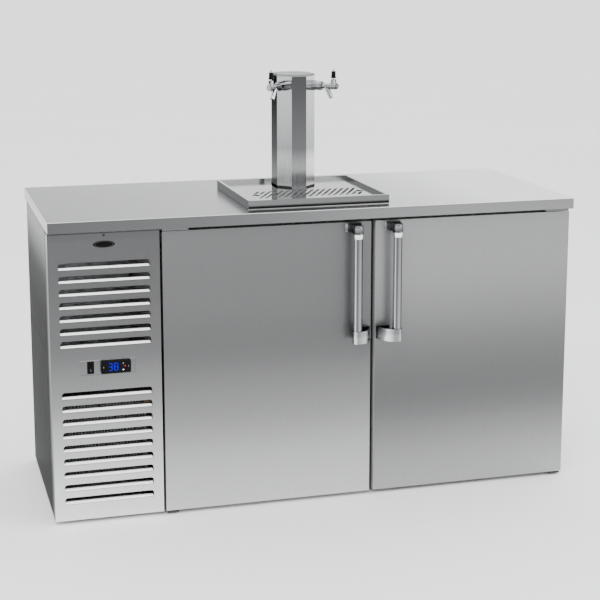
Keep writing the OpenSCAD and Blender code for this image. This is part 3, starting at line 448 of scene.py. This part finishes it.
# Badge: a blank oval plate in black enamel with a faint inner ring and a thin bare rim,
# held to the panel by its own adhesive.
badge_low, badge_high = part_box("badge_plate")
badge_half = (badge_high - badge_low) / 2
DEPTH_LEFT_OUT = 1000
badge_black, add, link, skin = shader("badge_black", rough=0.3)
skin.inputs["Specular IOR Level"].default_value = 0.03
place = add("ShaderNodeTexCoord")
oval = add("ShaderNodeMapping")
oval.vector_type = "TEXTURE"
oval.inputs["Location"].default_value = (badge_low + badge_high) / 2
oval.inputs["Scale"].default_value = (badge_half.x, DEPTH_LEFT_OUT, badge_half.z)
link(place.outputs["Object"], oval.inputs["Vector"])
outward = add("ShaderNodeVectorMath")
outward.operation = "LENGTH"
link(oval.outputs["Vector"], outward.inputs[0])
rings = grey_ramp(add, link, outward.outputs["Value"],
                  [(0, 0.004), (0.76, 0.004), (0.78, 0.05), (0.82, 0.05), (0.84, 0.004), (0.97, 0.004),
                   (0.985, 0.2), (1, 0.25)], "LINEAR")
brushed(add, link, skin, rings, (500, 500, 500), 0.3)
finish(badge_black, "badge_plate")


# Panel screw: a small stainless screw with a round socket, which holds the louvred panel
# at the middle of its top edge.
def take_up(piece):
    """Opens one piece alone for shaping, with nothing in it selected."""
    bpy.ops.object.select_all(action="DESELECT")
    piece.select_set(True)
    bpy.context.view_layer.objects.active = piece
    bpy.ops.object.mode_set(mode="EDIT")
    bpy.ops.mesh.select_all(action="DESELECT")


def pick(piece, kind, wanted):
    """Selects those faces, edges or points of the open piece for which wanted is true."""
    bpy.ops.mesh.select_mode(type=kind)
    mesh = bmesh.from_edit_mesh(piece.data)
    for part in {"FACE": mesh.faces, "EDGE": mesh.edges, "VERT": mesh.verts}[kind]:
        part.select_set(wanted(part))
    mesh.select_flush_mode()
    bmesh.update_edit_mesh(piece.data)


def put_down(piece, name, material, body):
    """Closes a shaped piece at the origin and gives it its name, skin and body."""
    bpy.ops.object.mode_set(mode="OBJECT")
    bpy.ops.object.transform_apply(location=True, rotation=True, scale=True)
    bpy.ops.object.shade_smooth_by_angle(angle=math.radians(40))
    piece.name = name
    piece.data.materials.clear()
    piece.data.materials.append(material)
    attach(piece, body)
    bpy.ops.object.select_all(action="DESELECT")


def round_head(x, y, z, radius, thick):
    """A disc that faces the front with its back at y, its front rim eased."""
    bpy.ops.mesh.primitive_cylinder_add(vertices=32, radius=radius, depth=thick,
                                        location=(x, y - thick / 2, z), rotation=(math.pi / 2, 0, 0))
    head = bpy.context.object
    take_up(head)
    pick(head, "EDGE", lambda edge: all(point.co.z > 0 for point in edge.verts))
    bpy.ops.mesh.bevel(offset=thick * 0.4, segments=3, affect="EDGES")
    return head


SCREW_R, SCREW_T, SCREW_DROP = 0.0034, 0.0014, 0.0073
SOCKET_RIM, SOCKET_WALL, SOCKET_DEEP = SCREW_R * 0.22, SCREW_R * 0.05, SCREW_T * 0.6
screw = round_head(panel_mid.x, panel_low.y, panel_high.z - SCREW_DROP, SCREW_R, SCREW_T)
pick(screw, "FACE", lambda face: face.normal.z > 0.99)
bpy.ops.mesh.inset(thickness=SOCKET_RIM)
bpy.ops.mesh.inset(thickness=SOCKET_WALL, depth=-SOCKET_DEEP)
# The screw is painted near black, as painted shade under the worktop's edge.
shaded_screw_steel = drawn_metal("shaded_screw_steel", (0.035, 0.035, 0.035), 0.3, (400, 400, 400))
put_down(screw, "panel_screw", shaded_screw_steel, "cabinet")

# Controls: a zinc plate behind a window in the panel holds a black rocker switch and a
# gloss black temperature controller that clips in from the front.
plate_low, plate_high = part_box("control_plate")
plate_steel, add, link, skin = shader("plate_steel", metal=1.0)
# The plate takes the panel's painted reflection, with a painted highlight along its top edge.
lit_edge = tone_drift(add, link, [(0, 0), (0.93, 0), (0.95, 1), (1, 1)], plate_low,
                      (plate_low.x, plate_low.y, plate_high.z), "LINEAR")
plate = tone_drift(add, link, panel_painted_reflection, *panel_run)
brushed(add, link, skin, mixed(add, link, lit_edge, plate, 0.6), UPRIGHT_GRAIN, 0.33)
finish(plate_steel, "control_plate")
finish(matt_plastic, "switch_housing", "switch_rocker", "left_key", "right_key")
gloss_plastic = moulded("gloss_plastic", (0.004, 0.004, 0.005), 0.2, 0.000008, 0.05)
finish(gloss_plastic, "controller_housing", "display_window")


# Display: two blue seven-bar digits and three small lamps, printed on the window, with
# pale marks on the side keys and on the rocker.
def lamp(name, colour, glow):
    """Lit plastic whose glow wanders a little."""
    material, add, link, skin = shader(name, rough=0.4)
    skin.inputs["Specular IOR Level"].default_value = 0.05
    cloud = stretched_noise(add, link, (300, 300, 300))
    tint(add, link, cloud, [c * 0.8 for c in colour], colour, skin)
    skin.inputs["Emission Color"].default_value = (*colour, 1)
    link(spread(add, link, cloud, glow * 0.85, glow * 1.1), skin.inputs["Emission Strength"])
    return material


PRINT_T = 0.0003


def bar(x, y, z, wide, high):
    """A flat printed bar that faces the front with its back at y, its corners cut."""
    bpy.ops.mesh.primitive_cube_add(size=1, location=(x, y - PRINT_T / 2, z))
    piece = bpy.context.object
    take_up(piece)
    bpy.ops.mesh.select_all(action="SELECT")
    bpy.ops.transform.resize(value=(wide, PRINT_T, high), center_override=piece.location)
    pick(piece, "EDGE", lambda edge: abs(edge.verts[0].co.y - edge.verts[1].co.y) > PRINT_T / 2)
    bpy.ops.mesh.bevel(offset=min(wide, high) * 0.4, segments=1, affect="EDGES")
    bpy.ops.object.mode_set(mode="OBJECT")
    bpy.ops.object.select_all(action="DESELECT")
    return piece


def copied(piece, x, z):
    """A copy with its own mesh, moved by x and z."""
    twin = piece.copy()
    twin.data = piece.data.copy()
    bpy.context.collection.objects.link(twin)
    twin.location.x += x
    twin.location.z += z
    return twin


DIGIT_W, DIGIT_H, DIGIT_PITCH = 0.0118, 0.0225, 0.0160
STROKE, STROKE_GAP = 0.0026, 0.0004
DIGIT_INSET, LAMP_INSET = 0.0285, 0.0480
glass_low, glass_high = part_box("display_window")
glass_z = (glass_low.z + glass_high.z) / 2
digit_x, lamp_x = glass_low.x + DIGIT_INSET, glass_low.x + LAMP_INSET
half_w, half_h = (DIGIT_W - STROKE) / 2, (DIGIT_H - STROKE) / 2
level = bar(digit_x, glass_low.y, glass_z, 2 * half_w - STROKE_GAP, STROKE)
upright = bar(digit_x - half_w, glass_low.y, glass_z + half_h / 2, STROKE, half_h - STROKE_GAP)
strokes = [level, copied(level, 0, half_h), copied(level, 0, -half_h),
           upright, copied(upright, 2 * half_w, 0),
           copied(upright, 0, -half_h), copied(upright, 2 * half_w, -half_h)]
for stroke in strokes:
    stroke.select_set(True)
bpy.context.view_layer.objects.active = level
bpy.ops.object.join()
eight = level
three = copied(eight, -DIGIT_PITCH, 0)
display_blue = lamp("display_blue", (0.004, 0.0, 0.4), 0.2)
take_up(three)
pick(three, "VERT", lambda point: point.co.x < -half_w - STROKE * 0.2)
bpy.ops.mesh.select_linked()
bpy.ops.mesh.delete(type="VERT")
put_down(three, "digit_left", display_blue, "cabinet")
take_up(eight)
put_down(eight, "digit_right", display_blue, "cabinet")

for name, x, z, wide, high, colour, glow in (
        ("lamp_top", lamp_x, glass_z + 0.0085, 0.0018, 0.0034, (0.5, 0.5, 0.52), 0.1),
        ("lamp_red", lamp_x + 0.0050, glass_z + 0.0004, 0.0038, 0.0034, (0.55, 0.02, 0.05), 0.35),
        ("lamp_oval", lamp_x, glass_z - 0.0100, 0.0048, 0.0032, (0.8, 0.8, 0.8), 0.6)):
    spot = round_head(x, glass_low.y, z, 0.5, PRINT_T)
    bpy.ops.mesh.select_all(action="SELECT")
    bpy.ops.transform.resize(value=(wide, 1, high), center_override=spot.location)
    put_down(spot, name, lamp(name + "_light", colour, glow), "cabinet")

MARK_W, MARK_H = 0.0014, 0.0055
ROCKER_DROP, ROCKER_DISH = 0.007, 0.0006
mark_print = moulded("mark_print", (0.16, 0.16, 0.165), 0.5)
for name, node, body, drop, dish in (
        ("left_key_mark", "left_key", "left_control_key", 0, 0),
        ("right_key_mark", "right_key", "right_control_key", 0, 0),
        ("rocker_mark", "switch_rocker", "power_rocker", ROCKER_DROP, ROCKER_DISH)):
    low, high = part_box(node)
    mark = bar((low.x + high.x) / 2, low.y + dish, (low.z + high.z) / 2 - drop, MARK_W, MARK_H)
    take_up(mark)
    put_down(mark, name, mark_print, body)

# Hinges: stainless plates over the doors and black enamelled brackets under them,
# screwed to the cabinet; the doors' pins turn in them.
# The stainless plates are painted dark grey: painted shade under the worktop's edge.
finish(drawn_metal("shaded_hinge_steel", (0.14, 0.14, 0.142), 0.35), "upper_hinges")
finish(enamel, "lower_hinges")

# Doors: a folded stainless skin, foamed onto a white plastic liner that carries a
# black magnetic gasket in its groove.
DOOR_RELIEF = 0.000001
door_low, door_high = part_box("left_door_skin")
door_run = (door_low, (door_low.x, door_low.y, door_high.z))
door_deep = (door_low, (door_low.x, door_high.y, door_low.z))
# Painted reflection on the left door: light at its foot, dark over its upper half.
left_door_painted_reflection = [(0, 0.57), (0.25, 0.29), (0.5, 0.125), (0.75, 0.115), (1, 0.13)]
left_door_steel = brushed_steel("left_door_steel", left_door_painted_reflection, *door_run, UPRIGHT_GRAIN, metal=0.75,
                                relief=DOOR_RELIEF)
finish(left_door_steel, "left_door_skin")

# The right door's left hem shows in the gap between the doors. It is less metallic than
# the sheet, with painted light at its front and painted shade further in.
# Painted reflection on the right door's sheet: light at its foot, darkest below its middle.
right_door_painted_reflection = [(0, 0.38), (0.25, 0.16), (0.46, 0.112), (0.75, 0.215), (1, 0.237)]
right_door_steel, add, link, skin = shader("right_door_steel")
sheet = tone_drift(add, link, right_door_painted_reflection, *door_run)
hem_light_and_shade = tone_drift(add, link, [(0, 0.5), (0.3, 0.4), (0.6, 0.02), (1, 0.02)], *door_deep)
hem_mask = part_way(add, link, facing(add, link)["X"], -0.5, -0.9)
link(part_way(add, link, hem_mask, 1.0, -0.33), skin.inputs["Metallic"])
brushed(add, link, skin, mixed(add, link, hem_mask, sheet, hem_light_and_shade), UPRIGHT_GRAIN, 0.33, DOOR_RELIEF)
finish(right_door_steel, "right_door_skin")
finish(moulded("white_plastic", (0.74, 0.75, 0.75), 0.45), "left_door_liner", "right_door_liner")
gasket_rubber = moulded("gasket_rubber", (0.006, 0.006, 0.006), 0.6, gloss=0.04)
finish(gasket_rubber, "left_door_gasket", "right_door_gasket")


# Handles: a polished tube between a cast bracket at its top and a curved scoop at its
# foot, both chromed and screwed on from inside the door.
def by_heading(add, link, tones, blend="CARDINAL"):
    """A grey for each way an upright face looks, in degrees: 0 to the front, -90 to the left."""
    faces = facing(add, link)
    ahead = add("ShaderNodeMath")
    ahead.operation = "MULTIPLY"
    ahead.inputs[1].default_value = -1
    link(faces["Y"], ahead.inputs[0])
    heading = add("ShaderNodeMath")
    heading.operation = "ARCTAN2"
    link(faces["X"], heading.inputs[0])
    link(ahead.outputs["Value"], heading.inputs[1])
    turn = part_way(add, link, heading.outputs["Value"], -math.pi, math.pi)
    return grey_ramp(add, link, turn, [((angle + 180) / 360, grey) for angle, grey in tones], blend)


def banded_chrome(name, low, high, painted_reflection_around, painted_light_upward, rough):
    """Chrome with painted studio reflections in bands, round the piece and from its foot to its top."""
    material, add, link, skin = shader(name, metal=1.0)
    skin.inputs["Specular Tint"].default_value = (0.5, 0.5, 0.5, 1)
    bands = times(add, link, by_heading(add, link, painted_reflection_around),
                  tone_drift(add, link, painted_light_upward, low, (low.x, low.y, high.z)))
    brushed(add, link, skin, bands, (30, 30, 30), rough)
    return material


# Painted reflections in bands on the grips, scoops and heads: the scoops painted brighter at the foot,
# the heads with a painted highlight on the collar and painted shade on top.
grip_chrome = banded_chrome(
    "grip_chrome", *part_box("left_grip"),
    [(-180, 0.6), (-105, 0.5), (-80, 0.62), (-56, 0.75), (-42, 0.3), (-30, 0.1), (-18, 0.11), (0, 0.22),
     (14, 0.24), (40, 0.13), (80, 0.13), (180, 0.6)],
    [(0, 1.0), (0.5, 0.9), (1, 0.8)], 0.16)
scoop_chrome = banded_chrome(
    "scoop_chrome", *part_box("left_handle_foot"),
    [(-180, 0.9), (-110, 0.6), (-70, 0.5), (-45, 0.7), (-15, 0.22), (15, 0.32), (40, 0.4), (70, 0.26),
     (110, 0.6), (180, 0.9)],
    [(0, 1.4), (0.3, 1.3), (0.6, 0.8), (1, 0.7)], 0.2)
head_chrome = banded_chrome(
    "head_chrome", *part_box("left_handle_head"),
    [(-180, 0.3), (-90, 0.6), (-50, 0.9), (0, 0.8), (40, 0.8), (90, 0.5), (180, 0.3)],
    [(0, 1.2), (0.28, 1.2), (0.36, 0.2), (0.8, 0.25), (1, 0.1)], 0.2)
finish(grip_chrome, "left_grip", "right_grip")
finish(scoop_chrome, "left_handle_foot", "right_handle_foot")
finish(head_chrome, "left_handle_head", "right_handle_head")


# Drip tray: a polished stainless pan with a raised rim, set on black seals, with a
# slotted grate over its sump and a drain through the worktop.
def polished(name, tone, rough, edge):
    """Polished metal with a faint cloud in its tone and gloss. edge is as for brushed steel."""
    material, add, link, skin = shader(name, metal=1.0, rough=rough)
    skin.inputs["Specular Tint"].default_value = (edge, edge, edge, 1)
    cloud = stretched_noise(add, link, (22, 22, 22), 3.0)
    tint(add, link, cloud, [tone * 0.94] * 3, [tone] * 3, skin)
    link(spread(add, link, cloud, rough * 0.7, rough * 1.3), skin.inputs["Roughness"])
    return material


tray_low, tray_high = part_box("drip_tray")
tray_deep = (tray_low, (tray_low.x, tray_high.y, tray_low.z))
tray_rise = (tray_low, (tray_low.x, tray_low.y, tray_high.z))
tray_steel, add, link, skin = shader("tray_steel", metal=1.0)
skin.inputs["Specular Tint"].default_value = (0.58, 0.58, 0.58, 1)

# Its walls carry a painted reflection, dark in front and bright at the back, with a bright lip
# along the foot, and the ends are in painted shade, near black at their foot.
faces = facing(add, link)
sideways = add("ShaderNodeMath")
sideways.operation = "ABSOLUTE"
link(faces["X"], sideways.inputs[0])
walls = tone_drift(add, link, [(0, 0.15), (0.1, 0.15), (0.9, 1.5), (1, 1.5)], *tray_deep)
lip = tone_drift(add, link, [(0, 1.0), (0.07, 1.0), (0.1, 0.0), (1, 0.0)], *tray_rise, "LINEAR")
walls = mixed(add, link, lip, walls, 0.9)
shaded_ends = tone_drift(add, link, [(0, 0.02), (0.05, 0.02), (0.09, 0.22), (1, 0.22)], *tray_rise, "LINEAR")
walls = mixed(add, link, sideways.outputs["Value"], walls, shaded_ends)
brushed(add, link, skin, mixed(add, link, faces["Z"], walls, 0.52), (12, 12, 12), 0.12)
finish(tray_steel, "drip_tray")
finish(gasket_rubber, "tray_seals")
finish(drawn_metal("sump_steel", (0.25, 0.25, 0.255), 0.5), "tray_drain")
finish(polished("grate_steel", 0.5, 0.08, edge=0.6), "drip_grate")


# Tower: an eight-sided polished stainless column on a base ring, closed by a flat cap
# and bolted down through the tray.
def facet_tone(add, link, facet_reflections):
    """One grey for each of eight upright faces, from the back round by the left, front and right."""
    tones = [(-157.5 + 45 * number, facet_reflections[(number + 1) % 8]) for number in range(8)]
    return by_heading(add, link, [(-180, facet_reflections[0])] + tones, "CONSTANT")


column_low, column_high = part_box("tower_column")
tower_steel, add, link, skin = shader("tower_steel", metal=1.0)
skin.inputs["Specular Tint"].default_value = (0.3, 0.3, 0.3, 1)
column_run = (column_low, (column_low.x, column_low.y, column_high.z))
# Painted reflection on each facet, bright at the foot and darker up the column.
facet_reflections = facet_tone(add, link, [0.9, 0.9, 0.4, 1.7, 0.45, 2.0, 0.6, 0.9])
for reach, facets in (([(0, 0.0), (0.35, 1.0), (1, 1.0)], [0.3, 0.4, 0.16, 0.32, 0.11, 0.45, 0.2, 0.4]),
                      ([(0, 0.0), (0.35, 0.0), (1, 1.0)], [0.2, 0.4, 0.02, 0.5, 0.065, 0.7, 0.2, 0.4])):
    share = tone_drift(add, link, reach, *column_run)
    facet_reflections = mixed(add, link, share, facet_reflections, facet_tone(add, link, facets))
brushed(add, link, skin, facet_reflections, UPRIGHT_GRAIN, 0.18)
finish(tower_steel, "tower_column")
finish(polished("cap_steel", 0.26, 0.2, edge=0.32), "tower_cap")
ring_steel, add, link, skin = shader("ring_steel", metal=1.0)
skin.inputs["Specular Tint"].default_value = (0.2, 0.2, 0.2, 1)
# Painted reflection and shade on the ring's facets: the left and front corners dark, the back light.
facet_reflections = facet_tone(add, link, [0.6, 0.6, 0.03, 0.09, 0.4, 0.09, 0.6, 0.6])
brushed(add, link, skin, facet_reflections, (60, 60, 60), 0.2)
finish(ring_steel, "tower_base_ring")

# Taps: chromed shanks, nuts, faucet bodies and bonnets, a lever with a black ferrule
# and a bare stud for a tap handle, and a brass plunger inside each body. They screw
# into the tower's wall, and stainless tubes bring the beer up to them.
tap_chrome, add, link, skin = shader("tap_chrome", metal=1.0)
skin.inputs["Specular Tint"].default_value = (0.3, 0.3, 0.3, 1)
# Painted reflections in bands round each piece, and painted light on the faces that look up.
painted_reflection_around = by_heading(
    add, link, [(-180, 0.1), (-120, 0.15), (-90, 0.6), (-60, 0.8), (-35, 0.25), (-10, 0.5), (15, 0.7),
                (45, 0.3), (75, 0.08), (120, 0.1), (180, 0.1)])
painted_light_upward = part_way(add, link, facing(add, link)["Z"], -1, 1)
painted_light_upward = grey_ramp(add, link, painted_light_upward, [(0, 0.5), (0.3, 0.6), (0.5, 0.8), (0.75, 1.0), (1, 1.2)])
brushed(add, link, skin, times(add, link, painted_reflection_around, painted_light_upward), (60, 60, 60), 0.12)
finish(tap_chrome, "shanks", "coupling_nuts", "faucet_bodies", "faucet_bonnets",
       "left_lever", "right_lever")
finish(gloss_plastic, "left_knob", "right_knob")
finish(drawn_metal("plunger_brass", (0.66, 0.48, 0.20), 0.3), "left_plunger", "right_plunger")
finish(drawn_metal("tube_steel", (0.60, 0.61, 0.62), 0.28), "product_tubes")
